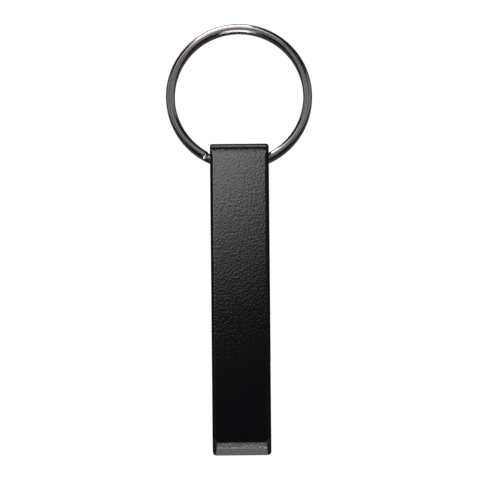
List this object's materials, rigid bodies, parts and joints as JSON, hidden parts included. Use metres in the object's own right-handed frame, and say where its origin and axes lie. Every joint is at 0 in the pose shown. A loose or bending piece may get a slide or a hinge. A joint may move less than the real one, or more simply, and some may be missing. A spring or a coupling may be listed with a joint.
{
  "type": "keychain bottle opener",
  "caption": "Black bar-shaped keychain bottle opener with a cap mouth, a claw tooth, a down-turned nose and a swinging split ring through a cross hole.",
  "frame": {"origin": "on the resting surface, under the middle of the whole part's box, with the opener lying on its back face and the split ring lying back on the same surface", "axes": "+Y along the bar from the nose to the split ring, +Z out of the smooth front face, +X across the bar, along the hole that the split ring swings in"},
  "size_m": [0.025, 0.0736, 0.01],
  "materials": {
    "black_aluminium": "satin",
    "bright_spring_steel": "polished"
  },
  "bodies": {
    "opener_body": {"opener_body": "black_aluminium"},
    "split_ring": {"split_ring": "bright_spring_steel"}
  },
  "joints": [
    {"name": "ring_swing", "type": "hinge", "parent": "opener_body", "child": "split_ring", "pos_m": [0, 0.01326, 0.0043], "axis": [1, 0, 0], "range_deg": [-155, 168]}
  ]
}
